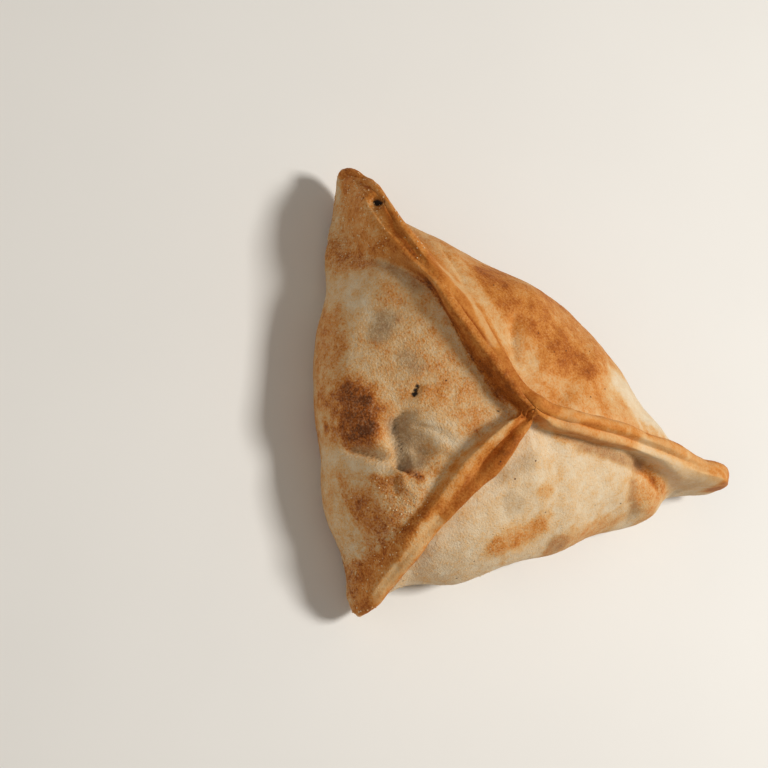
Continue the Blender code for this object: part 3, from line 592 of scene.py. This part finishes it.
def rib_measures(panel, u):
    """Every size that shapes a panel's ribs, each an array over the ribs."""
    sizes = PanelSizes(panel, u)
    rib = rib_layout(panel, sizes)
    away = np.linalg.norm(rib.start - CENTRE, axis=1)
    pinch = PINCH * waves(rib.start, PINCH_LENGTH, seed=3) * smoothstep(*PINCH_BEGINS, away)
    near_centre = np.exp(-((away / FILLET_REACH) ** 2))
    rib.crest, rib.lift, rib.lean = [sizes.seam(key) for key in ("crest", "lift", "lean")]
    rib.groove = rib.crest + pinch - sizes.seam("groove")
    rib.top = rib.crest + pinch - sizes.side("drop")
    lip = sizes.side("lip") / rib.squareness + PANELS[panel]["fillet"] * near_centre
    rib.lip = np.minimum(lip, rib.reach * LIP_SHARE)
    rib.gap = np.minimum(sizes.side("gap") / rib.squareness, rib.lip * GAP_SHARE)
    wall = sizes.side("wall")
    rib.panel_top = rib.top - wall
    rib.widest = rib.lift + (rib.panel_top - rib.lift) * PANELS[panel]["widest"]
    rib.slant = sizes.side("slant")
    rib.power = PANELS[panel]["fullness"]
    # Where the wall meets the panel.
    rib.foot = np.minimum(rib.lip + sizes.side("splay") * wall, rib.reach * FOOT_SHARE)
    rise = np.maximum(1 - (rib.foot / rib.reach) ** rib.power, 0) ** (1 / rib.power)
    rib.foot_height = rib.widest + (rib.panel_top - rib.widest) * rise
    rib.inset = np.minimum(PANELS[panel]["inset"], INSET_SHARE * rib.reach)
    return rib


def bezier(points, t):
    """A cubic curve for each rib, from control points of (distance out, height)."""
    weights = [(1 - t) ** 3, 3 * t * (1 - t) ** 2, 3 * t**2 * (1 - t), t**3]
    return [
        sum(weight * point[k][:, None] for weight, point in zip(weights, points)) for k in (0, 1)
    ]


def slanted(rib, t, crown, curves):
    """The curves from the lip's crown to the wall's foot, flattened towards the straight slope."""
    foot, slant = (rib.foot, rib.foot_height), rib.slant[:, None]
    flat = []
    for k, curve in enumerate(curves):
        share = (t + k) / len(curves)
        line = [blend(crown[n][:, None], foot[n][:, None], share) for n in (0, 1)]
        flat.append([blend(curve[n], line[n], slant) for n in (0, 1)])
    return flat


def ridge_curves(rib, t):
    """Up out of the groove, over the lip and down the wall to the panel."""
    zero = np.zeros_like(rib.reach)
    depth, drop = rib.top - rib.groove, rib.top - rib.foot_height
    crown = (rib.gap, rib.top)
    edge = (rib.lip, rib.top - 0.5 * drop)
    into_groove = bezier([
        (zero, rib.groove),
        (0.35 * rib.gap, rib.groove + 0.3 * depth),
        (0.55 * rib.gap, rib.top),
        crown,
    ], t)
    over_lip = bezier([
        crown,
        (rib.gap + 0.75 * (rib.lip - rib.gap), rib.top),
        (rib.lip, rib.top - 0.1 * drop),
        edge,
    ], t)
    down_wall = bezier([
        edge,
        (rib.lip, rib.foot_height + 0.25 * drop),
        ((rib.foot + rib.lip) / 2, rib.foot_height + 0.05 * drop),
        (rib.foot, rib.foot_height),
    ], t)
    return [into_groove, *slanted(rib, t, crown, [over_lip, down_wall])]


def panel_curves(rib, t, t_end):
    """On a superellipse from the wall's foot to the widest line, then round to the floor."""
    share = np.clip((rib.foot / rib.reach) ** (rib.power / 2), 0, 1)
    from_angle = np.arcsin(share)[:, None]
    angle = from_angle + (math.pi / 2 - from_angle) * t
    reach, widest, inset = rib.reach[:, None], rib.widest[:, None], rib.inset[:, None]
    over_filling = [
        reach * np.sin(angle) ** (2 / rib.power),
        widest + (rib.panel_top[:, None] - widest) * np.cos(angle) ** (2 / rib.power),
    ]
    lift, quarter = rib.lift[:, None], t_end * math.pi / 2
    under = [
        reach - inset + inset * np.cos(quarter) ** 0.9,
        lift + (widest - lift) * (1 - np.sin(quarter)),
    ]
    return [over_filling, under]


def rib_profiles(rib):
    """The ribs as (distance out from the groove, height), smoothed: an array of (rib, sample, 2)."""
    t = np.linspace(0, 1, DENSE, endpoint=False)[None, :]
    t_end = np.linspace(0, 1, DENSE)[None, :]
    curves = ridge_curves(rib, t) + panel_curves(rib, t, t_end)
    joined = [np.concatenate([curve[k] for curve in curves], axis=1) for k in (0, 1)]
    ribs = np.stack(joined, axis=2)
    for _ in range(SMOOTHING_PASSES):
        middle = (ribs[:, :-2] + ribs[:, 2:]) / 2
        ribs[:, 1:-1] += 0.5 * (middle - ribs[:, 1:-1])
    # At its nose a corner closes about its middle height.
    middle_height = (0.5 * (rib.lift + rib.crest))[:, None]
    ribs[:, :, 0] *= rib.closing[:, None]
    ribs[:, :, 1] = middle_height + (ribs[:, :, 1] - middle_height) * rib.closing[:, None]
    return ribs


def rib_steps():
    """The samples that become rows of the mesh: even within each part of a rib."""
    ridge = np.linspace(0, 3 * DENSE, RIDGE_STEPS, endpoint=False)
    over = 3 * DENSE + DENSE * np.linspace(0, 1, PANEL_STEPS, endpoint=False)
    under = 4 * DENSE + (DENSE - 1) * np.linspace(0, 1, UNDER_STEPS + 1)
    return np.concatenate([ridge, over, under])


def rib_places():
    """u at each rib: closer together at the corners' noses and at the centre."""
    t = np.linspace(0, 1, RIBS + 1)
    half = np.where(t <= 0.5, t * 2, 2 - t * 2)
    eased = half - 0.1 * np.sin(2 * math.pi * half)
    return np.where(t <= 0.5, eased / 2, 1 - eased / 2)


def panel_points(panel):
    """The panel's surface as an array of (rib, row, 3)."""
    rib = rib_measures(panel, rib_places())
    ribs = rib_profiles(rib)
    at = rib_steps()
    low = np.minimum(at.astype(int), ribs.shape[1] - 2)
    share = (at - low)[None, :, None]
    rows = blend(ribs[:, low], ribs[:, low + 1], share)
    across, height = rows[:, :, 0], rows[:, :, 1]
    plan = rib.start[:, None, :] + across[:, :, None] * rib.ways[:, None, :]
    # The crest leans over whole; the walls follow it less and less towards their feet.
    wall = np.maximum(rib.top - rib.foot_height, 0.5)[:, None]
    up_wall = np.clip((height - rib.foot_height[:, None]) / wall, 0, 1) ** 1.4
    up_wall[:, at < DENSE] = 1
    up_wall[:, at >= 3 * DENSE] = 0
    plan = plan + (rib.lean[:, None] * up_wall)[:, :, None] * rib.side[:, None, :]
    return np.concatenate([plan, height[:, :, None]], axis=2), rib.lift


def base_rings(edge, lift):
    """The underside, from the panels' lower edges in to the middle of the base."""
    rings = [edge]
    for scale in BASE_RINGS:
        plan = CENTRE + (edge[:, :2] - CENTRE) * scale
        rings.append(np.column_stack([plan, lift * smoothstep(*BASE_FLAT, scale)]))
    return np.stack(rings, axis=1)


def skin_grids():
    """The pie's surface as grids of points, each with what its points carry: their place on the
    ribs, how baked their bare dough is and how grainy."""
    grids, edges, lifts = [], [], []
    steps = rib_steps() / DENSE
    for panel in PANELS:
        points, lift = panel_points(panel)
        carried = {name: np.full(points.shape[:2], PANELS[panel][name]) for name in ("bare", "sand")}
        carried["place"] = np.broadcast_to(steps, points.shape[:2])
        grids.append((points, carried))
        edges.append(points[:-1, -1])
        lifts.append(lift[:-1])
    edge, lift = np.concatenate(edges), np.concatenate(lifts)
    edge, lift = np.concatenate([edge, edge[:1]]), np.append(lift, lift[0])
    base = base_rings(edge, lift)
    flat = np.ones(base.shape[:2])
    grids.append((base, {"place": 5 * flat, "bare": BASE_BROWNING * flat, "sand": flat}))
    return grids


def join_grids(grids):
    """One closed mesh from the grids, in millimetres, with what the points carry as attributes."""
    points, faces, first = [], [], 0
    for grid, _ in grids:
        across = grid.shape[1]
        corner = first + (np.arange(grid.shape[0] - 1)[:, None] * across + np.arange(across - 1))
        corner = corner.ravel()
        faces.append(np.stack([corner, corner + 1, corner + across + 1, corner + across], axis=1))
        points.append(grid.reshape(-1, 3))
        first += grid.shape[0] * across
    data = bpy.data.meshes.new("crust")
    data.from_pydata(np.concatenate(points).tolist(), [], np.concatenate(faces).tolist())
    for name in grids[0][1]:
        write_attribute(data, name, np.concatenate([carried[name].ravel() for _, carried in grids]))
    mesh = bmesh.new()
    mesh.from_mesh(data)
    bmesh.ops.remove_doubles(mesh, verts=mesh.verts, dist=WELD)
    bmesh.ops.recalc_face_normals(mesh, faces=mesh.faces)
    mesh.to_mesh(data)
    mesh.free()
    return data


def write_attribute(data, name, values):
    """One number a point, which materials and node trees read by its name."""
    attribute = data.attributes.new(name, "FLOAT", "POINT")
    attribute.data.foreach_set("value", np.asarray(values, np.float32))


def read_attribute(data, name):
    values = np.empty(len(data.vertices), np.float32)
    data.attributes[name].data.foreach_get("value", values)
    return values.astype(float)


def read_points(data, what="co"):
    flat = np.empty(len(data.vertices) * 3)
    data.vertices.foreach_get(what, flat)
    return flat.reshape(-1, 3)


def write_points(data, points):
    data.vertices.foreach_set("co", points.ravel())
    data.update()


def distance_to(path, points):
    """How far each point lies from a chain of straight lines."""
    nearest = np.full(len(points), np.inf)
    path = np.array(path, float)
    for start, end in zip(path, path[1:]):
        along = end - start
        share = np.clip((points - start) @ along / max(along @ along, 1e-9), 0, 1)
        gap = np.linalg.norm(points - start - share[:, None] * along, axis=1)
        nearest = np.minimum(nearest, gap)
    return nearest


def press(data, height):
    """Moves the skin out along its normals by a height a point, less towards the flat base."""
    points = read_points(data)
    kept = smoothstep(*FOLDS_BEGIN, points[:, 2])
    points = points + read_points(data, "normal") * (height * kept)[:, None]
    points[:, 2] = np.maximum(points[:, 2], 0)
    write_points(data, points)


def swells_at(points):
    out = UNEVEN * waves(points, UNEVEN_LENGTH, seed=11)
    for *path, radius, height in MARKS.values():
        out += height * np.exp(-((distance_to(path, points) / radius) ** 2))
    return out


def folds_at(points, folds):
    """How far creases given in plan move each point."""
    out = np.zeros(len(points))
    for *path, radius, height in folds.values():
        out += height * np.exp(-distance_to(path, points[:, :2]) / radius)
    return out


def on_seam(place):
    """1 on the pinched lips of dough, falling to 0 at their walls' feet."""
    return 1 - smoothstep(*LIP_ENDS, place)


def on_foot(place):
    """1 low on the pinched walls, where they meet the panels and the painted shade at their feet
    goes, and 0 elsewhere.
    """
    return smoothstep(*FOOT_BEGINS, place) * (1 - smoothstep(*FOOT_ENDS, place))


def press_folds(data):
    points, seam = read_points(data), on_seam(read_attribute(data, "place"))
    press(data, blend(folds_at(points, PANEL_FOLDS), folds_at(points, SEAM_FOLDS), seam))


def painted(points, strokes, level=0.0):
    """A field that each stroke pulls from its level so far towards the stroke's own."""
    field = np.zeros(len(points)) + level
    broad = waves(points, length=7.0, seed=21, count=24)
    fine = waves(points, length=2.6, seed=22, count=24)
    wander = 1 + STROKE_WANDER * (broad + 0.7 * fine)
    for *path, radius, target, strength in strokes.values():
        gap = distance_to(path, points[:, :2]) * wander / radius
        field += (target - field) * strength * (1 - smoothstep(*STROKE_EDGE, gap))
    return field


def arithmetic(operation, swapped=False):
    """A method for Number that adds a maths node, with its two values swapped or not."""

    def method(self, other):
        values = {0: other, 1: self} if swapped else {0: self, 1: other}
        return self.sheet.add("ShaderNodeMath", {"operation": operation}, values)

    return method


class Number:
    """A number that varies over a surface: the socket that gives it, with plain arithmetic."""

    def __init__(self, sheet, socket):
        self.sheet, self.socket = sheet, socket

    __add__ = __radd__ = arithmetic("ADD")
    __mul__ = __rmul__ = arithmetic("MULTIPLY")
    __sub__ = arithmetic("SUBTRACT")
    __rsub__ = arithmetic("SUBTRACT", swapped=True)
    __rtruediv__ = arithmetic("DIVIDE", swapped=True)

    def rise(self, low, high):
        """0 below low and 1 above high, with a smooth step between."""
        return self.sheet.add(
            "ShaderNodeMapRange",
            {"interpolation_type": "SMOOTHSTEP"},
            {"Value": self, "From Min": low, "From Max": high},
        )


class NodeSheet:
    """Adds nodes to one tree."""

    def __init__(self, tree):
        self.tree = tree

    def add(self, kind, settings=None, inputs=None, output=0):
        """A node with its settings made first and its sockets filled; gives one of its outputs."""
        node = self.tree.nodes.new(kind)
        for name, value in (settings or {}).items():
            setattr(node, name, value)
        for name, value in (inputs or {}).items():
            if isinstance(value, Number):
                self.tree.links.new(value.socket, node.inputs[name])
            else:
                node.inputs[name].default_value = value
        return Number(self, node.outputs[output])

    def attribute(self, name):
        return self.add("ShaderNodeAttribute", {"attribute_name": name}, output="Fac")

    def noise(self, place, length, detail=2.0, roughness=0.5):
        """Soft noise about 0, mostly within 0.5 either way, whose lumps are about length metres."""
        values = {"Vector": place, "Scale": 1 / length, "Detail": detail, "Roughness": roughness}
        return self.add("ShaderNodeTexNoise", {}, values) * 2.2 - 1.1

    def spots(self, place, spacing):
        """How far, in spacings, the surface is from the nearest of a few random points."""
        values = {"Vector": place, "Scale": 1 / spacing}
        return self.add("ShaderNodeTexVoronoi", {}, values, "Distance")

    def mix(self, first, second, share):
        """From the first colour, socket 6, to the second, 7, as share goes from 0 to 1."""
        first, second = [c if isinstance(c, Number) else (*c, 1) for c in (first, second)]
        values = {0: share, 6: first, 7: second}
        return self.add("ShaderNodeMix", {"data_type": "RGBA"}, values, output=2)

    def scaled(self, vector, size):
        values = {"Vector": vector, "Scale": size}
        return self.add("ShaderNodeVectorMath", {"operation": "SCALE"}, values)

    def random(self, kind, low, high, seed):
        """A random value within a range: its sockets start at 0 for vectors and 2 for numbers."""
        first, output = (2, 1) if kind == "FLOAT" else (0, 0)
        values = {first: low, first + 1: high, "Seed": seed}
        return self.add("FunctionNodeRandomValue", {"data_type": kind}, values, output)

    def ramp(self, share, stops):
        """The colour between the stops at a share from 0 to 1."""
        colour = self.add("ShaderNodeValToRGB", {}, {"Fac": share}, "Color")
        elements = colour.socket.node.color_ramp.elements
        while len(elements) < len(stops):
            elements.new(1.0)
        for element, (place, tone) in zip(elements, stops):
            element.position, element.color = place, (*tone, 1)
        return colour


def new_material(name, colour, sockets):
    """A material with its node sheet and its surface shader, whose sockets take the given values."""
    material = bpy.data.materials.new(name)
    material.use_nodes = True
    material.diffuse_color = (*colour, 1)
    shader = material.node_tree.nodes["Principled BSDF"]
    for socket, value in sockets.items():
        shader.inputs[socket].default_value = value
    return material, NodeSheet(material.node_tree), shader


def feed(sheet, shader, name, value):
    sheet.tree.links.new(value.socket, shader.inputs[name])


def crust_material():
    """Baked dough: pale where it was folded in, golden to brown on its rises, sandy all over, with
    the painted shade and painted light that its attributes carry.
    """
    material, sheet, shader = new_material("crust", BAKING[2][1], MATT)
    place = sheet.add("ShaderNodeTexCoord", output="Object")
    broad, patch, grain, dust = [
        sheet.noise(place, size * MM, detail, roughness)
        for size, detail, roughness in LUMPS.values()
    ]
    sandy = sheet.attribute("sandy")
    # How baked the dough is, with the painted shade and painted light strokes in it.
    level = sheet.attribute("bake_light_and_shade") + 0.14 * broad + (0.34 * patch + 0.28 * grain) * sandy
    colour = sheet.ramp(level, BAKING)
    # Where the filling shows through, and the painted shade in creases and under lips.
    filling_and_shade = sheet.attribute("filling_and_shade") * (0.8 + 0.7 * patch)
    colour = sheet.mix(colour, FILLING_AND_SHADE_COLOUR, filling_and_shade)
    floury = 1.1 * sandy - 0.4 - 0.4 * sheet.attribute("flour")
    dusting = (0.4 * floury + 1.2 * dust).rise(0.15, 1.1) * floury * (0.85 - 0.7 * level)
    colour = sheet.mix(colour, DUST, dusting)
    colour = sheet.mix(colour, CRUMB_SHADOW, (0 - grain).rise(0.05, 0.6) * 0.3 * sandy)
    # Char, and the painted shade in the hole and the slit.
    char_and_opening_shade = (sheet.attribute("char_and_opening_shade") + 0.1 * grain).rise(0.3, 0.9)
    colour = sheet.mix(colour, CHAR_AND_OPENING_SHADE_COLOUR, char_and_opening_shade)
    off_speck = sheet.spots(place, SPECK_SPACING * MM).rise(*SPECK_EDGE)
    colour = sheet.mix(SPECK, colour, off_speck)
    feed(sheet, shader, "Base Color", colour)
    feed(sheet, shader, "Roughness", 0.68 + 0.12 * grain)
    height = (0.8 * grain + 0.7 * dust) * sandy + 1.2 * patch
    relief = {"Strength": 1.0, "Distance": BUMP_HEIGHT * MM, "Height": height}
    feed(sheet, shader, "Normal", sheet.add("ShaderNodeBump", {}, relief, "Normal"))
    return material


def flour_material():
    material, sheet, shader = new_material("flour", FLOUR, {**MATT, "Roughness": 0.85})
    place = sheet.add("ShaderNodeTexCoord", output="Object")
    tone = sheet.noise(place, 3 * MM).rise(-0.6, 0.6)
    feed(sheet, shader, "Base Color", sheet.mix(FLOUR, TOASTED_FLOUR, tone))
    return material


def floor_material():
    material, sheet, shader = new_material("floor", FLOOR_COLOUR, {"Roughness": 0.6})
    place = sheet.add("ShaderNodeTexCoord", output="Object")
    tone = sheet.noise(place, 60 * MM, 4).rise(-1, 1)
    dim = [0.96 * c for c in FLOOR_COLOUR]
    feed(sheet, shader, "Base Color", sheet.mix(FLOOR_COLOUR, dim, tone))
    return material


def new_geometry_tree(name, inputs):
    """An empty Geometry Nodes tree with named inputs after its geometry."""
    tree = bpy.data.node_groups.new(name, "GeometryNodeTree")
    for socket, kind in {"Geometry": "Geometry", **inputs}.items():
        tree.interface.new_socket(socket, in_out="INPUT", socket_type="NodeSocket" + kind)
    tree.interface.new_socket("Geometry", in_out="OUTPUT", socket_type="NodeSocketGeometry")
    entry = tree.nodes.new("NodeGroupInput")
    exit_node = tree.nodes.new("NodeGroupOutput")
    sheet = NodeSheet(tree)
    given = {socket.name: Number(sheet, socket) for socket in entry.outputs if socket.name}
    return tree, sheet, given, exit_node.inputs["Geometry"]


def run_tree(source, tree, values, name):
    """The plain mesh that the tree makes from the source object."""
    modifier = source.modifiers.new(tree.name, "NODES")
    modifier.node_group = tree
    for item in tree.interface.items_tree:
        if item.in_out == "INPUT" and item.name in values:
            modifier[item.identifier] = values[item.name]
    graph = bpy.context.evaluated_depsgraph_get()
    data = bpy.data.meshes.new_from_object(source.evaluated_get(graph))
    source.modifiers.remove(modifier)
    data.name = name
    return data


def named_attribute(sheet, name):
    return sheet.add("GeometryNodeInputNamedAttribute", {}, {"Name": name}, "Attribute")


def relief_tree():
    """Raises and sinks the skin along its normals by soft noise, as far as its attribute says."""
    inputs = dict.fromkeys(RELIEF, "Float")
    tree, sheet, given, exit_socket = new_geometry_tree("baked_relief", inputs)
    place = sheet.add("GeometryNodeInputPosition")

    def lumps(length):
        values = {"Vector": place, "Scale": 1 / length, "Detail": 1.0}
        return sheet.add("ShaderNodeTexNoise", {}, values) * 2 - 1

    height = given["Wrinkle height"] * lumps(given["Wrinkle length"])
    height = height + given["Pimple height"] * lumps(given["Pimple length"])
    height = height * named_attribute(sheet, "free")
    offset = sheet.scaled(sheet.add("GeometryNodeInputNormal"), height)
    values = {"Geometry": given["Geometry"], "Offset": offset}
    moved = sheet.add("GeometryNodeSetPosition", {}, values)
    sheet.tree.links.new(moved.socket, exit_socket)
    return tree


def flour_tree():
    """Strews small lumps in clumps over a skin, as thickly as its attribute says."""
    inputs = dict.fromkeys(("Lumps per square metre", *FLOUR_SIZES), "Float")
    inputs.update({"Seed": "Int", "Material": "Material"})
    tree, sheet, given, exit_socket = new_geometry_tree("strewn_flour", inputs)
    place = sheet.add("GeometryNodeInputPosition")
    clumps = sheet.noise(place, given["Clump"]).rise(-0.1, 0.5)
    density = given["Lumps per square metre"] * named_attribute(sheet, "flour") * clumps
    seed = given["Seed"]
    values = {"Mesh": given["Geometry"], "Density": density, "Seed": seed}
    spots = sheet.add("GeometryNodeDistributePointsOnFaces", {}, values, "Points")
    lump = sheet.add("GeometryNodeMeshIcoSphere", output="Mesh")
    size = sheet.random("FLOAT", given["Smallest"], given["Largest"], seed)
    shape = sheet.random("FLOAT_VECTOR", *FLOUR_SHAPES, seed)
    turn = sheet.random("FLOAT_VECTOR", (0, 0, 0), (math.tau, math.tau, math.tau), seed)
    scale = sheet.scaled(shape, size)
    values = {"Points": spots, "Instance": lump, "Rotation": turn, "Scale": scale}
    lumps = sheet.add("GeometryNodeInstanceOnPoints", {}, values)
    real = sheet.add("GeometryNodeRealizeInstances", {}, {"Geometry": lumps})
    values = {"Geometry": real, "Material": given["Material"]}
    finished = sheet.add("GeometryNodeSetMaterial", {}, values)
    sheet.tree.links.new(finished.socket, exit_socket)
    return tree


def new_object(name, data):
    thing = bpy.data.objects.new(name, data)
    bpy.context.scene.collection.objects.link(thing)
    return thing


def fit_to_frame(data):
    """Centres the mesh in plan on the plain solid and puts it in metres."""
    low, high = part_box("pastry")
    points = read_points(data) * MM
    move = (np.add(low, high) - points.min(axis=0) - points.max(axis=0)) / 2
    points[:, :2] += move[:2]
    write_points(data, points)


def paint_crust(data):
    """Writes how baked the dough is, with painted shade and painted light in it, where the filling
    shows or painted shade greys it, how floury, where it is charred or painted near black as shade in
    its openings, how grainy, and how free to move.
    """
    points = read_points(data)
    place, bare, sand = [read_attribute(data, name) for name in ("place", "bare", "sand")]
    seam = on_seam(place)
    shown = 1 - MARKS_FADED * smoothstep(*MARKS_FADE, place)
    # The browning, with painted shade and painted light strokes among it.
    on_panels = blend(bare, painted(points, PANEL_BROWNING_AND_SHADE, bare), shown)
    on_seams = painted(points, SEAM_BROWNING_LIGHT_AND_SHADE, SEAM_BROWNING_LEVEL)
    baked = blend(on_panels, on_seams, seam)
    flour = painted(points, FLOURING)
    looks = {
        # Painted shade at the feet of the seams' walls, over the browning.
        "bake_light_and_shade": blend(baked, painted(points, FOOT_SHADE, baked), on_foot(place)),
        "filling_and_shade": painted(points, FILLING_AND_SHADE_STROKES) * (1 - LIP_GREY_LOSS * seam),
        "flour": flour,
        "char_and_opening_shade": painted(points, CHAR_AND_OPENING_SHADE_STROKES),
        "sandy": sand * (1 - LIP_SAND_LOSS * seam) + FLOUR_SAND * flour,
        "free": smoothstep(*RELIEF_BEGINS, points[:, 2]),
    }
    for name, values in looks.items():
        write_attribute(data, name, values)


def make_crust():
    data = join_grids(skin_grids())
    press(data, swells_at(read_points(data)))
    press_folds(data)
    paint_crust(data)
    fit_to_frame(data)
    data.materials.append(crust_material())
    smooth = new_object("smooth_crust", data)
    relief = {name: size * MM for name, size in RELIEF.items()}
    baked = run_tree(smooth, relief_tree(), relief, "crust")
    bpy.data.objects.remove(smooth)
    baked.shade_smooth()
    return new_object("crust", baked)


def make_flour(crust):
    values = {name: size * MM for name, size in FLOUR_SIZES.items()}
    values["Lumps per square metre"] = FLOUR_LUMPS
    values["Seed"], values["Material"] = FLOUR_SEED, flour_material()
    return new_object("flour_grains", run_tree(crust, flour_tree(), values, "flour_grains"))


def make_floor():
    half = 3.0
    corners = [(-half, -half, 0), (half, -half, 0), (half, half, 0), (-half, half, 0)]
    data = bpy.data.meshes.new("floor")
    data.from_pydata(corners, [], [(0, 1, 2, 3)])
    data.materials.append(floor_material())
    return new_object("floor", data)


def light_studio():
    """Square soft boxes that face the pie, in a dim warm room."""
    for name, (direction, distance, size, watts, colour) in LAMPS.items():
        lamp = bpy.data.lights.new(name, "AREA")
        lamp.size, lamp.energy, lamp.color = size, watts, colour
        box = new_object(name, lamp)
        towards = Vector(direction).normalized()
        box.location = towards * distance
        box.rotation_mode = "QUATERNION"
        box.rotation_quaternion = towards.to_track_quat("Z", "Y")
    world = bpy.data.worlds.new("studio")
    bpy.context.scene.world = world
    world.use_nodes = True
    background = world.node_tree.nodes["Background"]
    background.inputs["Color"].default_value = (*ROOM_COLOUR, 1)
    background.inputs["Strength"].default_value = ROOM_STRENGTH
    bpy.context.scene.view_settings.view_transform = "Standard"


def add_camera():
    lens = bpy.data.cameras.new("camera")
    lens.lens, lens.sensor_width, lens.clip_start = CAMERA_LENS, 36.0, 0.01
    camera = new_object("camera", lens)
    turn = Matrix.Rotation(math.radians(90 - CAMERA_ELEVATION), 4, "X")
    turn = turn @ Matrix.Rotation(math.radians(CAMERA_ROLL), 4, "Z")
    back = turn.to_3x3() @ Vector((0, 0, 1))
    camera.matrix_world = Matrix.Translation(Vector(CAMERA_AIM) * MM + back * CAMERA_DISTANCE) @ turn
    bpy.context.scene.camera = camera


crust = make_crust()
flour = make_flour(crust)
for piece in (crust, flour):
    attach(piece, "root")
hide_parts("pastry")
make_floor()
light_studio()
add_camera()
